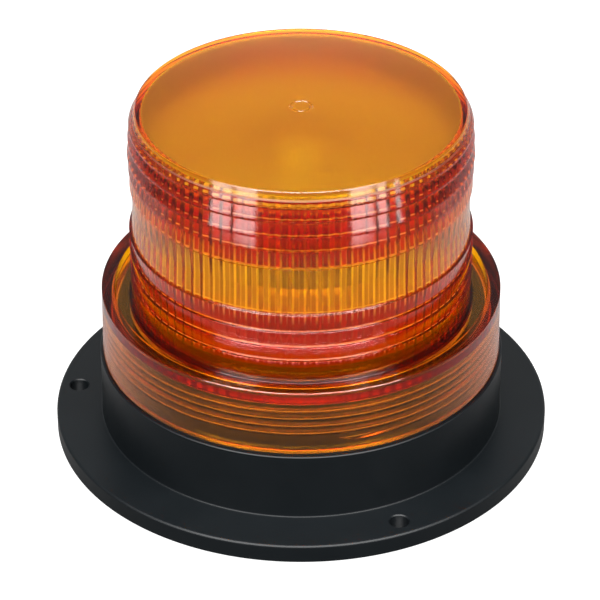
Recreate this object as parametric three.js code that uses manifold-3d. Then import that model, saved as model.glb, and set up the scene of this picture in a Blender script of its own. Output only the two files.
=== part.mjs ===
// Amber warning beacon with a screw-on Fresnel lens, a bolt-down base and a plug-in flash tube.
// Millimetres, +Z up. The origin is the centre of the base's underside, and -Y is the front.
import * as THREE from 'three';
import { mergeVertices } from 'three/addons/utils/BufferGeometryUtils.js';
import Module from 'manifold-3d';

const wasm = await Module();
wasm.setup();

// ---------------------------------------------------------------- driving dimensions

const GAP = 0.3; // kept between pieces that bear on each other
const OVERRUN = 1; // how far a cutter runs past the faces that it opens
const LARGE_SEGMENTS = 40; // facets round the base and the lens
const MEDIUM_SEGMENTS = 20; // facets round the flash tube's pieces
const SMALL_SEGMENTS = 16; // facets round small turned pieces
const HOLE_SEGMENTS = 12; // facets round screw holes

// Base housing: a flange, a drum and a threaded neck, open at both ends.
const FLANGE_RADIUS = 82.5;
const FLANGE_HEIGHT = 6.3;
const FLANGE_EDGE = 0.8;
const DRUM_EDGE = 0.4;
const DRUM_FILLET = 0.4;
const NECK_EDGE = 0.6;
const DRUM_RADIUS = 67;
const DRUM_TOP = 29.7;
const DRUM_INNER_RADIUS = 63.5;
const SHOULDER_BOTTOM = 24.7;
const SHOULDER_THICKNESS = 3;
const NECK_TOP = 46.8;
const NECK_INNER_RADIUS = 57.2;
const SEAL_GROOVE_RADIUS = 65.6;
const FOOT_GROOVE = { inner: 66.2, outer: 71.8, depth: 2.3 };

// Mounting screws: three quarter-inch clearance holes on a six-inch circle.
const MOUNT_HOLE_RADIUS = 3.2;
const MOUNT_CIRCLE_RADIUS = 75.9;
const MOUNT_FIRST_ANGLE = -65.6;
const THIRD_TURN = 120;

// Screw thread between the neck and the lens skirt, right-handed.
const PITCH = 2.8;
const NECK_THREAD = { root: 60.2, crest: 61.9, rootWidth: 1.3, crestWidth: 0.5 };
const LENS_THREAD = { root: 62.5, crest: 60.9, rootWidth: 1.2, crestWidth: 0.5 };
const LENS_THREAD_START = 34;
const LENS_THREAD_TURNS = 4.6;
const NECK_THREAD_TURNS = 2.7;
const THREAD_START_ANGLE = 9; // degrees from the front towards +X
const THREAD_BURIED = 0.4; // how far a thread's root runs into its wall
const THREAD_FADE = 4; // steps over which a thread's end runs out

// Lens: a collar, a sunken web and a dome with Fresnel rings above and below a plain band.
const LENS_TOP = 119.1;
const LENS_BOTTOM = 30.5;
const COLLAR_RADIUS = { bottom: 66.1, top: 65.8 };
const COLLAR_TOP = 53.4;
const COLLAR_INNER_RADIUS = 61.5;
const COLLAR_EDGE = 0.4;
const WEB = { bottom: 48, top: 50.3 };
const DOME_FOOT_RADIUS = 55.7;
const DOME_FILLET = 1;
const DOME_WALL = { bottomInner: 52.4, topInner: 51.5 };
const CEILING = 116.5;
const CEILING_CORNER = 1.1;
// Each prism ring as its height, its crest radius and how deep its step is.
const UPPER_RINGS = [
  [92.5, 55.5, 0.4], [98.4, 55.7, 0.9], [103.6, 55.9, 1.3], [109.1, 55.6, 1.5], [113.9, 55.2, 1.3],
];
const LOWER_RINGS = [[58.8, 56.1, 0.8], [63.8, 56.1, 0.8], [69.5, 56.1, 0.8], [75.9, 56.1, 0.8]];
const UPPER_STEP = 0.4;
const LOWER_LEDGE = 0.1;
const WAIST = [54.7, 85];
const DOME_SHOULDER = [[53.6, 117.7], [53.2, 118.6], [52.7, 118.95], [51.8, LENS_TOP]];

// Rubber seals.
const LENS_SEAL = { inner: 62.3, outer: 65.3, bottom: 28, top: 30.2 };
const FOOT_SEAL = { inner: 66.5, outer: 71.5, bottom: 0.1, top: 2 };

// Bottom cover and cable grommet.
const COVER = { radius: 63, bottom: 3, top: 5.5 };
const GROMMET = { x: 0, y: 30, bore: 4, neck: 6, flange: 8, bottom: 1, top: 7.5, chamfer: 1.2 };
const GROMMET_HOLE_RADIUS = 6.4;

// Screws and the bosses that take them.
const SCREW = { headRadius: 3, headHeight: 1.9, shankRadius: 1.45, point: 1, slot: 0.8, slotDepth: 0.9 };
const SCREW_HOLE_RADIUS = 1.8;
const COVER_SCREW_LENGTH = 10;
const BOARD_SCREW_LENGTH = 7;
const DECK_SCREW_LENGTH = 9;
const BOSS_RADIUS = 3.5;
const COVER_BOSS = { radius: 59.8, first: 60, bottom: 5.8, depth: 10 };
const BOARD_BOSS = { radius: 58.5, first: 0, bottom: 17.8, depth: 6 };
const DECK_BOSS = { radius: 51.4, first: 30, bottom: 30, top: 42, depth: 9, rib: 3 };

// Circuit board, and the height at which the pieces on it stand.
const BOARD = { radius: 62.8, bottom: 15.9, top: 17.5, notch: 4.3 };
const BOARD_LEVEL = BOARD.top + GAP;

// Deck and flash tube socket.
const DECK = { radius: 56.7, bottom: 42.3, top: 44.5, hole: 12.8, lip: 1.5, lipHeight: 1.2 };
const REFLECTOR = { inner: 17.4, outer: 47.9, bottom: DECK.top + GAP, top: 45.4 };
const SOCKET = { body: 12.4, bottom: 36, flange: 17, flangeTop: 47.2, crown: 14, top: 49.9 };
const RETAINER = { inner: 12.7, outer: 16, bottom: 40.9 };
const PIN = { circle: 8, radius: 1.2, point: 0.5, hole: 1.6, bottom: 41.8, top: 49.9 };

// Flash tube: a moulded plug, a glass envelope and a U-shaped discharge tube.
const PLUG = { radius: 15, edge: 0.8, bottom: 50.2, rim: 55, top: 57.5, spigot: 10.9, spigotTop: 61 };
const ENVELOPE = { radius: 13, wall: 1.6, bottom: 57.8, top: 102 };
const U_TUBE = { radius: 3, halfGap: 5.5, bottom: 64.3, legTop: 90 };
const ELECTRODE = { radius: 2, bottom: 61.3, top: 64 };

// ---------------------------------------------------------------- materials

function material(color, roughness, metalness = 0, extra = {}) {
  return new THREE.MeshStandardMaterial({ color, roughness, metalness, ...extra });
}

const AMBER = material(0xd8600c, 0.15, 0, { transparent: true, opacity: 0.6 });
const BLACK_PLASTIC = material(0x16191a, 0.55);
const WHITE_PLASTIC = material(0xe6e4dc, 0.5);
const RUBBER = material(0x101010, 0.8);
const STEEL = material(0xb8bcc0, 0.3, 1);
const NICKEL = material(0xcfc8b4, 0.25, 1);
const ALUMINIUM = material(0xa4a8ac, 0.4, 1);
const BOARD_GREEN = material(0x1c5a34, 0.5);
const CAN_BLUE = material(0x1f2f5c, 0.35);
const FERRITE = material(0x2b2b2c, 0.7);
const COPPER = material(0xa8572a, 0.35, 1);
const TAPE_YELLOW = material(0xd8b53a, 0.5);
const CHIP_BLACK = material(0x1a1a1b, 0.45);
const FILM_RED = material(0x9c2c22, 0.4);
const RESISTOR_TAN = material(0xc7a878, 0.6);
const TERMINAL_GREEN = material(0x2a7a3e, 0.45);
const GLASS = material(0xf2f6f6, 0.05, 0, { transparent: true, opacity: 0.35 });

// ---------------------------------------------------------------- geometry helpers

const model = new THREE.Group();

function addPiece(name, geometry, finish) {
  const mesh = new THREE.Mesh(geometry, finish);
  mesh.name = name;
  model.add(mesh);
  return mesh;
}

// A closed geometry as a solid that can be joined and cut.
function solidOf(geometry) {
  const bare = geometry.clone();
  bare.deleteAttribute('normal');
  bare.deleteAttribute('uv');
  const merged = mergeVertices(bare, 1e-4);
  const corners = merged.index.array;
  const triangles = [];
  for (let i = 0; i < corners.length; i += 3) {
    const [a, b, c] = corners.slice(i, i + 3);
    if (a !== b && b !== c && c !== a) triangles.push(a, b, c);
  }
  return new wasm.Manifold(new wasm.Mesh({
    numProp: 3,
    vertProperties: new Float32Array(merged.attributes.position.array),
    triVerts: new Uint32Array(triangles),
  }));
}

function geometryOf(solid) {
  const mesh = solid.getMesh();
  const geometry = new THREE.BufferGeometry();
  geometry.setAttribute('position', new THREE.BufferAttribute(mesh.vertProperties, 3));
  geometry.setIndex(new THREE.BufferAttribute(mesh.triVerts, 1));
  return geometry;
}

function joined(geometries) {
  return geometries.map(solidOf).reduce((whole, solid) => whole.add(solid));
}

function cutAway(body, cutters) {
  return cutters.reduce((rest, cutter) => rest.subtract(solidOf(cutter)), body);
}

// A piece turned about Z. The outline is a list of [radius, height] that runs up the outside.
function turned(outline, segments = SMALL_SEGMENTS) {
  const points = outline.map(([radius, height]) => new THREE.Vector2(radius, height));
  return new THREE.LatheGeometry(points, segments).rotateX(Math.PI / 2);
}

function turnedRing(outline, segments = SMALL_SEGMENTS) {
  return turned([...outline, outline[0]], segments);
}

function disc(radius, bottom, top, segments = SMALL_SEGMENTS) {
  return turned([[0, bottom], [radius, bottom], [radius, top], [0, top]], segments);
}

function washer(inner, outer, bottom, top, segments = SMALL_SEGMENTS) {
  return turnedRing([[inner, bottom], [outer, bottom], [outer, top], [inner, top]], segments);
}

// A box given by its middle in x and y, its two widths and its two heights.
function block(x, y, width, depth, bottom, top) {
  const height = top - bottom;
  return new THREE.BoxGeometry(width, depth, height).translate(x, y, bottom + height / 2);
}

// Places on a circle, a third of a turn apart.
function thirds(radius, firstAngle) {
  return [0, 1, 2].map((step) => {
    const degrees = firstAngle + step * THIRD_TURN;
    const angle = THREE.MathUtils.degToRad(degrees);
    return { x: radius * Math.cos(angle), y: radius * Math.sin(angle), angle };
  });
}

function discsAt(places, radius, bottom, top, segments = SMALL_SEGMENTS) {
  return places.map(({ x, y }) => disc(radius, bottom, top, segments).translate(x, y, 0));
}

// ---------------------------------------------------------------- screw thread

// A ridge with a trapezium section that climbs anticlockwise. Its ends run out into the wall.
function threadRidge({ root, crest, rootWidth, crestWidth }, startHeight, turns) {
  const outward = Math.sign(crest - root);
  const steps = Math.round(turns * LARGE_SEGMENTS);
  const firstStep = Math.round(THREAD_START_ANGLE * LARGE_SEGMENTS / 360);
  const buried = root - outward * THREAD_BURIED;
  const positions = [];
  for (let step = 0; step <= steps; step += 1) {
    const angle = (firstStep + step) * 2 * Math.PI / LARGE_SEGMENTS;
    const height = startHeight + PITCH * step / LARGE_SEGMENTS;
    const rise = Math.min(1, (step + 1) / THREAD_FADE, (steps - step + 1) / THREAD_FADE);
    const tip = root + (crest - root) * rise;
    const section = [[buried, -rootWidth], [tip, -crestWidth], [tip, crestWidth], [buried, rootWidth]];
    for (const [radius, width] of section) {
      positions.push(radius * Math.sin(angle), -radius * Math.cos(angle), height + width / 2);
    }
  }
  return ridgeSkin(positions, steps, outward);
}

// Joins the four-cornered sections of a ridge into one closed skin that faces out.
function ridgeSkin(positions, steps, outward) {
  const faces = [];
  for (let step = 0; step < steps; step += 1) {
    for (let corner = 0; corner < 4; corner += 1) {
      const a = step * 4 + corner;
      const b = step * 4 + (corner + 1) % 4;
      faces.push([a, a + 4, b + 4], [a, b + 4, b]);
    }
  }
  const last = steps * 4;
  faces.push([0, 1, 2], [0, 2, 3], [last, last + 2, last + 1], [last, last + 3, last + 2]);
  const ordered = outward > 0 ? faces : faces.map(([a, b, c]) => [a, c, b]);
  const geometry = new THREE.BufferGeometry();
  geometry.setAttribute('position', new THREE.Float32BufferAttribute(positions, 3));
  geometry.setIndex(ordered.flat());
  return geometry;
}

// ---------------------------------------------------------------- screws

// A slotted pan-head screw that points up: its head hangs below the seat.
function screwGeometry(seat, length) {
  const { headRadius, headHeight, shankRadius, point, slot, slotDepth } = SCREW;
  const face = seat - headHeight;
  const body = turned([
    [0, face],
    [headRadius * 0.7, face],
    [headRadius, face + headHeight * 0.5],
    [headRadius, seat],
    [shankRadius, seat],
    [shankRadius, seat + length - point],
    [0, seat + length],
  ], HOLE_SEGMENTS);
  const groove = block(0, 0, 2 * (headRadius + OVERRUN), slot, face - OVERRUN, face + slotDepth);
  return geometryOf(cutAway(solidOf(body), [groove]));
}

function addScrews(name, places, seat, length, pointsDown = false) {
  places.forEach(({ x, y }, index) => {
    const geometry = screwGeometry(0, length);
    const mesh = addPiece(`${name}_${index + 1}`, geometry, STEEL);
    mesh.position.set(x, y, seat);
    if (pointsDown) mesh.rotation.x = Math.PI;
  });
}

// ---------------------------------------------------------------- base

function housingOutline() {
  const shoulder = SHOULDER_BOTTOM + SHOULDER_THICKNESS;
  return [
    [DRUM_INNER_RADIUS, 0],
    [FOOT_GROOVE.inner, 0],
    [FOOT_GROOVE.inner, FOOT_GROOVE.depth],
    [FOOT_GROOVE.outer, FOOT_GROOVE.depth],
    [FOOT_GROOVE.outer, 0],
    [FLANGE_RADIUS, 0],
    [FLANGE_RADIUS, FLANGE_HEIGHT - FLANGE_EDGE],
    [FLANGE_RADIUS - FLANGE_EDGE * 0.3, FLANGE_HEIGHT - FLANGE_EDGE * 0.3],
    [FLANGE_RADIUS - FLANGE_EDGE, FLANGE_HEIGHT],
    [DRUM_RADIUS + DRUM_FILLET, FLANGE_HEIGHT],
    [DRUM_RADIUS, FLANGE_HEIGHT + DRUM_FILLET],
    [DRUM_RADIUS, DRUM_TOP - DRUM_EDGE],
    [DRUM_RADIUS - DRUM_EDGE, DRUM_TOP],
    [SEAL_GROOVE_RADIUS, DRUM_TOP],
    [SEAL_GROOVE_RADIUS, shoulder],
    [NECK_THREAD.root, shoulder],
    [NECK_THREAD.root, NECK_TOP - NECK_EDGE],
    [NECK_THREAD.root - NECK_EDGE, NECK_TOP],
    [NECK_INNER_RADIUS, NECK_TOP],
    [NECK_INNER_RADIUS, SHOULDER_BOTTOM],
    [DRUM_INNER_RADIUS, SHOULDER_BOTTOM],
  ];
}

// Ribs that tie the deck bosses to the neck wall.
function deckBossRibs() {
  const { radius, first, bottom, top, rib } = DECK_BOSS;
  const outer = NECK_INNER_RADIUS + OVERRUN;
  const length = outer - radius;
  return thirds(radius + length / 2, first).map(({ x, y, angle }) => (
    block(0, 0, length, rib, bottom, top).rotateZ(angle).translate(x, y, 0)
  ));
}

function addBaseHousing() {
  const coverPlaces = thirds(COVER_BOSS.radius, COVER_BOSS.first);
  const boardPlaces = thirds(BOARD_BOSS.radius, BOARD_BOSS.first);
  const deckPlaces = thirds(DECK_BOSS.radius, DECK_BOSS.first);
  const bossRoot = SHOULDER_BOTTOM + OVERRUN;
  const neckThreadStart = LENS_THREAD_START + PITCH * 1.5;
  const body = joined([
    turnedRing(housingOutline(), LARGE_SEGMENTS),
    threadRidge(NECK_THREAD, neckThreadStart, NECK_THREAD_TURNS),
    ...discsAt(coverPlaces, BOSS_RADIUS, COVER_BOSS.bottom, bossRoot),
    ...discsAt(boardPlaces, BOSS_RADIUS, BOARD_BOSS.bottom, bossRoot),
    ...discsAt(deckPlaces, BOSS_RADIUS, DECK_BOSS.bottom, DECK_BOSS.top),
    ...deckBossRibs(),
  ]);
  const mountPlaces = thirds(MOUNT_CIRCLE_RADIUS, MOUNT_FIRST_ANGLE);
  const holes = [
    ...discsAt(mountPlaces, MOUNT_HOLE_RADIUS, -OVERRUN, FLANGE_HEIGHT + OVERRUN, MEDIUM_SEGMENTS),
    ...discsAt(coverPlaces, SCREW_HOLE_RADIUS, 0, COVER_BOSS.bottom + COVER_BOSS.depth, HOLE_SEGMENTS),
    ...discsAt(boardPlaces, SCREW_HOLE_RADIUS, 0, BOARD_BOSS.bottom + BOARD_BOSS.depth, HOLE_SEGMENTS),
    ...discsAt(deckPlaces, SCREW_HOLE_RADIUS, DECK_BOSS.top - DECK_BOSS.depth, NECK_TOP, HOLE_SEGMENTS),
  ];
  addPiece('base_housing', geometryOf(cutAway(body, holes)), BLACK_PLASTIC);
}

function addBottomCover() {
  const places = thirds(COVER_BOSS.radius, COVER_BOSS.first);
  const plate = solidOf(disc(COVER.radius, COVER.bottom, COVER.top, LARGE_SEGMENTS));
  const cableHole = disc(GROMMET_HOLE_RADIUS, 0, COVER.top + OVERRUN).translate(GROMMET.x, GROMMET.y, 0);
  const screwHoles = discsAt(places, SCREW_HOLE_RADIUS, 0, COVER.top + OVERRUN, HOLE_SEGMENTS);
  addPiece('bottom_cover', geometryOf(cutAway(plate, [cableHole, ...screwHoles])), BLACK_PLASTIC);
  addScrews('cover_screw', places, COVER.bottom - GAP, COVER_SCREW_LENGTH);
}

function addCableGrommet() {
  const { x, y, bore, neck, flange, bottom, top, chamfer } = GROMMET;
  const outline = [
    [bore, bottom],
    [flange, bottom],
    [flange, COVER.bottom - GAP],
    [neck, COVER.bottom - GAP],
    [neck, COVER.top + GAP],
    [flange, COVER.top + GAP],
    [flange - chamfer, top],
    [bore, top],
  ];
  addPiece('cable_grommet', turnedRing(outline), RUBBER).position.set(x, y, 0);
}

function addSeals() {
  const lensSeal = washer(LENS_SEAL.inner, LENS_SEAL.outer, LENS_SEAL.bottom, LENS_SEAL.top, LARGE_SEGMENTS);
  const footSeal = washer(FOOT_SEAL.inner, FOOT_SEAL.outer, FOOT_SEAL.bottom, FOOT_SEAL.top, LARGE_SEGMENTS);
  addPiece('lens_seal', lensSeal, RUBBER);
  addPiece('foot_seal', footSeal, RUBBER);
}

// ---------------------------------------------------------------- lens

// Dome outline from its foot up to the edge of the flat top.
function domeOutline() {
  const outline = [[DOME_FOOT_RADIUS, WEB.top + DOME_FILLET]];
  for (const [height, crest, depth] of LOWER_RINGS) {
    outline.push([crest, height], [crest - depth, height + LOWER_LEDGE]);
  }
  outline.push(WAIST);
  for (const [height, crest, depth] of UPPER_RINGS) {
    outline.push([crest - depth, height - UPPER_STEP], [crest, height]);
  }
  return [...outline, ...DOME_SHOULDER];
}

function lensOutline() {
  return [
    [0, CEILING],
    [DOME_WALL.topInner - CEILING_CORNER, CEILING],
    [DOME_WALL.topInner, CEILING - CEILING_CORNER],
    [DOME_WALL.bottomInner, WEB.bottom],
    [LENS_THREAD.root, WEB.bottom],
    [LENS_THREAD.root, LENS_BOTTOM],
    [COLLAR_RADIUS.bottom, LENS_BOTTOM],
    [COLLAR_RADIUS.top, COLLAR_TOP - COLLAR_EDGE],
    [COLLAR_RADIUS.top - COLLAR_EDGE, COLLAR_TOP],
    [COLLAR_INNER_RADIUS + COLLAR_EDGE, COLLAR_TOP],
    [COLLAR_INNER_RADIUS, COLLAR_TOP - COLLAR_EDGE],
    [COLLAR_INNER_RADIUS, WEB.top],
    [DOME_FOOT_RADIUS + DOME_FILLET, WEB.top],
    ...domeOutline(),
    [0, LENS_TOP],
  ];
}

function addLens() {
  const shell = turned(lensOutline(), LARGE_SEGMENTS);
  const thread = threadRidge(LENS_THREAD, LENS_THREAD_START, LENS_THREAD_TURNS);
  addPiece('lens', geometryOf(joined([shell, thread])), AMBER);
}

// ---------------------------------------------------------------- deck, socket and flash tube

function pinPlaces() {
  return thirds(PIN.circle, 90);
}

function addDeck() {
  const places = thirds(DECK_BOSS.radius, DECK_BOSS.first);
  const plate = turnedRing([
    [DECK.hole, DECK.bottom],
    [DECK.radius, DECK.bottom],
    [DECK.radius, DECK.top + DECK.lipHeight],
    [DECK.radius - DECK.lip, DECK.top + DECK.lipHeight],
    [DECK.radius - DECK.lip, DECK.top],
    [DECK.hole, DECK.top],
  ], LARGE_SEGMENTS);
  const screwHoles = discsAt(places, SCREW_HOLE_RADIUS, 0, NECK_TOP, HOLE_SEGMENTS);
  addPiece('deck_plate', geometryOf(cutAway(solidOf(plate), screwHoles)), WHITE_PLASTIC);
  addScrews('deck_screw', places, DECK.top + GAP, DECK_SCREW_LENGTH, true);
  const { inner, outer, bottom, top } = REFLECTOR;
  addPiece('reflector_plate', washer(inner, outer, bottom, top, LARGE_SEGMENTS), WHITE_PLASTIC);
}

function addTubeSocket() {
  const seat = DECK.top + GAP;
  const body = turned([
    [0, SOCKET.bottom],
    [SOCKET.body, SOCKET.bottom],
    [SOCKET.body, seat],
    [SOCKET.flange, seat],
    [SOCKET.flange, SOCKET.flangeTop],
    [SOCKET.crown, SOCKET.flangeTop],
    [SOCKET.crown, SOCKET.top],
    [0, SOCKET.top],
  ], MEDIUM_SEGMENTS);
  const [low, high] = [SOCKET.bottom - OVERRUN, SOCKET.top + OVERRUN];
  const pinHoles = discsAt(pinPlaces(), PIN.hole, low, high, HOLE_SEGMENTS);
  addPiece('tube_socket', geometryOf(cutAway(solidOf(body), pinHoles)), WHITE_PLASTIC);
  const { inner, outer, bottom } = RETAINER;
  const retainer = washer(inner, outer, bottom, DECK.bottom - GAP, MEDIUM_SEGMENTS);
  addPiece('socket_retainer', retainer, STEEL);
}

function addTubePlug() {
  const plug = turned([
    [0, PLUG.bottom],
    [PLUG.radius - PLUG.edge, PLUG.bottom],
    [PLUG.radius, PLUG.bottom + PLUG.edge],
    [PLUG.radius, PLUG.rim],
    [ENVELOPE.radius, PLUG.top],
    [PLUG.spigot, PLUG.top],
    [PLUG.spigot, PLUG.spigotTop],
    [0, PLUG.spigotTop],
  ], MEDIUM_SEGMENTS);
  addPiece('tube_plug', plug, WHITE_PLASTIC);
  pinPlaces().forEach(({ x, y }, index) => {
    const pin = turned([
      [0, PIN.bottom],
      [PIN.radius - PIN.point, PIN.bottom],
      [PIN.radius, PIN.bottom + PIN.point],
      [PIN.radius, PIN.top],
      [0, PIN.top],
    ], HOLE_SEGMENTS);
    addPiece(`tube_pin_${index + 1}`, pin, NICKEL).position.set(x, y, 0);
  });
}

// A quarter of a circle about [0, centre], from its widest point to the axis.
function quarterRound(radius, centre, steps) {
  const points = [];
  for (let step = 0; step <= steps; step += 1) {
    const angle = step * Math.PI / 2 / steps;
    points.push([step === steps ? 0 : radius * Math.cos(angle), centre + radius * Math.sin(angle)]);
  }
  return points;
}

function addEnvelope() {
  const { radius, wall, bottom, top } = ENVELOPE;
  const centre = top - radius;
  const inside = quarterRound(radius - wall, centre, 5).reverse();
  const outside = quarterRound(radius, centre, 5);
  const outline = [...inside, [radius - wall, bottom], [radius, bottom], ...outside];
  addPiece('glass_envelope', turned(outline, MEDIUM_SEGMENTS), GLASS);
}

// The middle line of the discharge tube: a leg, a half turn and a leg.
class UPath extends THREE.Curve {
  getPoint(t, target = new THREE.Vector3()) {
    const { halfGap, bottom, legTop } = U_TUBE;
    const leg = legTop - bottom;
    const bend = Math.PI * halfGap;
    const distance = t * (2 * leg + bend);
    if (distance <= leg) return target.set(-halfGap, 0, bottom + distance);
    if (distance >= leg + bend) return target.set(halfGap, 0, legTop - (distance - leg - bend));
    const angle = (distance - leg) / halfGap;
    return target.set(-halfGap * Math.cos(angle), 0, legTop + halfGap * Math.sin(angle));
  }
}

function addDischargeTube() {
  const section = new THREE.Shape().absarc(0, 0, U_TUBE.radius, 0, 2 * Math.PI, false);
  const options = { steps: 18, curveSegments: 6, bevelEnabled: false, extrudePath: new UPath() };
  addPiece('discharge_tube', new THREE.ExtrudeGeometry(section, options), GLASS);
  for (const [side, x] of [['left', -U_TUBE.halfGap], ['right', U_TUBE.halfGap]]) {
    const electrode = disc(ELECTRODE.radius, ELECTRODE.bottom, ELECTRODE.top, HOLE_SEGMENTS);
    addPiece(`electrode_${side}`, electrode, NICKEL).position.set(x, 0, 0);
  }
}

// ---------------------------------------------------------------- circuit board

function addCircuitBoard() {
  const plate = solidOf(disc(BOARD.radius, BOARD.bottom, BOARD.top, LARGE_SEGMENTS));
  const screwPlaces = thirds(BOARD_BOSS.radius, BOARD_BOSS.first);
  const notchPlaces = thirds(COVER_BOSS.radius, COVER_BOSS.first);
  const cutters = [
    ...discsAt(screwPlaces, SCREW_HOLE_RADIUS, 0, NECK_TOP, HOLE_SEGMENTS),
    ...discsAt(notchPlaces, BOARD.notch, 0, NECK_TOP, HOLE_SEGMENTS),
  ];
  addPiece('circuit_board', geometryOf(cutAway(plate, cutters)), BOARD_GREEN);
  addScrews('board_screw', screwPlaces, BOARD.bottom - GAP, BOARD_SCREW_LENGTH);
}

function addStorageCapacitors() {
  const can = { radius: 11, height: 22, edge: 1, x: -31, spread: 12.5 };
  const top = BOARD_LEVEL + can.height;
  const outline = [
    [0, BOARD_LEVEL],
    [can.radius, BOARD_LEVEL],
    [can.radius, top - can.edge],
    [can.radius - can.edge, top],
    [0, top],
  ];
  [-1, 1].forEach((side, index) => {
    const mesh = addPiece(`storage_capacitor_${index + 1}`, turned(outline, MEDIUM_SEGMENTS), CAN_BLUE);
    mesh.position.set(can.x, side * can.spread, 0);
  });
}

// A ferrite core with two windows, and the wound bobbin that fills them.
function addTransformer() {
  const core = { x: 29, y: 4, width: 28, depth: 14, height: 22, limb: 4, centreLimb: 7, overhang: 3 };
  const window = { bottom: BOARD_LEVEL + core.limb, top: BOARD_LEVEL + core.height - core.limb };
  const windowWidth = (core.width - 2 * core.limb - core.centreLimb) / 2;
  const offset = (core.centreLimb + windowWidth) / 2;
  const windows = [-offset, offset].map((shift) => (
    block(shift, 0, windowWidth, core.depth + 2 * OVERRUN, window.bottom, window.top)
  ));
  const frame = block(0, 0, core.width, core.depth, BOARD_LEVEL, BOARD_LEVEL + core.height);
  const place = (mesh) => mesh.position.set(core.x, core.y, 0);
  place(addPiece('transformer_core', geometryOf(cutAway(solidOf(frame), windows)), FERRITE));

  const clear = 0.4;
  const coilWidth = core.centreLimb + 2 * windowWidth - 2 * clear;
  const coilDepth = core.depth + 2 * core.overhang;
  const coil = block(0, 0, coilWidth, coilDepth, window.bottom + clear, window.top - clear);
  const limbHole = block(0, 0, core.centreLimb + 2 * clear, core.depth + 2 * clear, 0, NECK_TOP);
  place(addPiece('transformer_winding', geometryOf(cutAway(solidOf(coil), [limbHole])), TAPE_YELLOW));
}

function addTriggerCoil() {
  const coil = { x: -4, y: -38, core: 3, flange: 6.5, cheek: 1.5, wire: 5.4, height: 18 };
  const top = BOARD_LEVEL + coil.height;
  const upperCheek = top - 2 * coil.cheek;
  const outline = [
    [0, BOARD_LEVEL],
    [coil.flange, BOARD_LEVEL],
    [coil.flange, BOARD_LEVEL + coil.cheek],
    [coil.wire, BOARD_LEVEL + coil.cheek],
    [coil.wire, upperCheek],
    [coil.flange, upperCheek],
    [coil.flange, upperCheek + coil.cheek],
    [coil.core, upperCheek + coil.cheek],
    [coil.core, top],
    [0, top],
  ];
  addPiece('trigger_coil', turned(outline), COPPER).position.set(coil.x, coil.y, 0);
}

// A comb-shaped extrusion that stands on the board with its fins to the rear.
function addHeatSink() {
  const sink = { x: -2, y: 40, width: 30, plate: 2.4, fin: 1.4, finDepth: 7, fins: 6, height: 19, screw: 14 };
  const plate = block(0, 0, sink.width, sink.plate, BOARD_LEVEL, BOARD_LEVEL + sink.height);
  const spacing = (sink.width - sink.fin) / (sink.fins - 1);
  const parts = [plate];
  for (let index = 0; index < sink.fins; index += 1) {
    const x = -sink.width / 2 + sink.fin / 2 + index * spacing;
    const y = sink.finDepth / 2;
    parts.push(block(x, y, sink.fin, sink.finDepth, BOARD_LEVEL, BOARD_LEVEL + sink.height));
  }
  const comb = geometryOf(cutAway(joined(parts), [levelHole(BOARD_LEVEL + sink.screw)]));
  addPiece('heat_sink', comb, ALUMINIUM).position.set(sink.x, sink.y, 0);
  addTransistor(sink);
}

// A screw hole that runs along Y.
function levelHole(height) {
  const reach = 10;
  return disc(SCREW_HOLE_RADIUS, -reach, reach, HOLE_SEGMENTS).rotateX(Math.PI / 2).translate(0, 0, height);
}

// A tab that bears on the heat sink, with a moulded body on its front and three legs.
function addTransistor(sink) {
  const tab = { width: 10, thickness: 1.3, bottom: 5, top: 18 };
  const body = { y: -1.6, depth: 3.4, bottom: 2, top: 11 };
  const leg = { spacing: 2.5, width: 0.8, depth: 0.6, top: 3 };
  const screwLength = 7;
  const front = sink.y - sink.plate / 2 - GAP;
  const screwHeight = BOARD_LEVEL + sink.screw;
  const parts = [
    block(0, 0, tab.width, tab.thickness, BOARD_LEVEL + tab.bottom, BOARD_LEVEL + tab.top),
    block(0, body.y, tab.width, body.depth, BOARD_LEVEL + body.bottom, BOARD_LEVEL + body.top),
  ];
  for (const side of [-1, 0, 1]) {
    parts.push(block(side * leg.spacing, body.y, leg.width, leg.depth, BOARD_LEVEL, BOARD_LEVEL + leg.top));
  }
  const shape = geometryOf(cutAway(joined(parts), [levelHole(screwHeight)]));
  addPiece('power_transistor', shape, CHIP_BLACK).position.set(sink.x, front - tab.thickness / 2, 0);
  const screw = addPiece('transistor_screw', screwGeometry(0, screwLength), STEEL);
  screw.rotation.x = -Math.PI / 2;
  screw.position.set(sink.x, front - tab.thickness - GAP, screwHeight);
}

function addFilterChoke() {
  const ring = { x: 33, y: -27, radius: 6.5, thickness: 3 };
  const torus = new THREE.TorusGeometry(ring.radius, ring.thickness, 8, 16);
  const mesh = addPiece('filter_choke', torus, COPPER);
  mesh.position.set(ring.x, ring.y, BOARD_LEVEL + ring.thickness);
}

function addTimingChip() {
  const chip = { x: 14, y: -38, width: 9.8, depth: 6.4, standoff: 0.8, height: 3.6 };
  const leg = { pitch: 2.54, width: 1.2, depth: 0.8, height: 2, offset: 0.2 };
  const rows = 4;
  const body = block(0, 0, chip.width, chip.depth, BOARD_LEVEL + chip.standoff, BOARD_LEVEL + chip.height);
  const legs = [];
  for (let index = 0; index < rows; index += 1) {
    const x = (index - (rows - 1) / 2) * leg.pitch;
    for (const side of [-1, 1]) {
      const y = side * (chip.depth / 2 + leg.offset);
      legs.push(block(x, y, leg.width, leg.depth, BOARD_LEVEL, BOARD_LEVEL + leg.height));
    }
  }
  addPiece('timing_chip', geometryOf(joined([body, ...legs])), CHIP_BLACK).position.set(chip.x, chip.y, 0);
}

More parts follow.
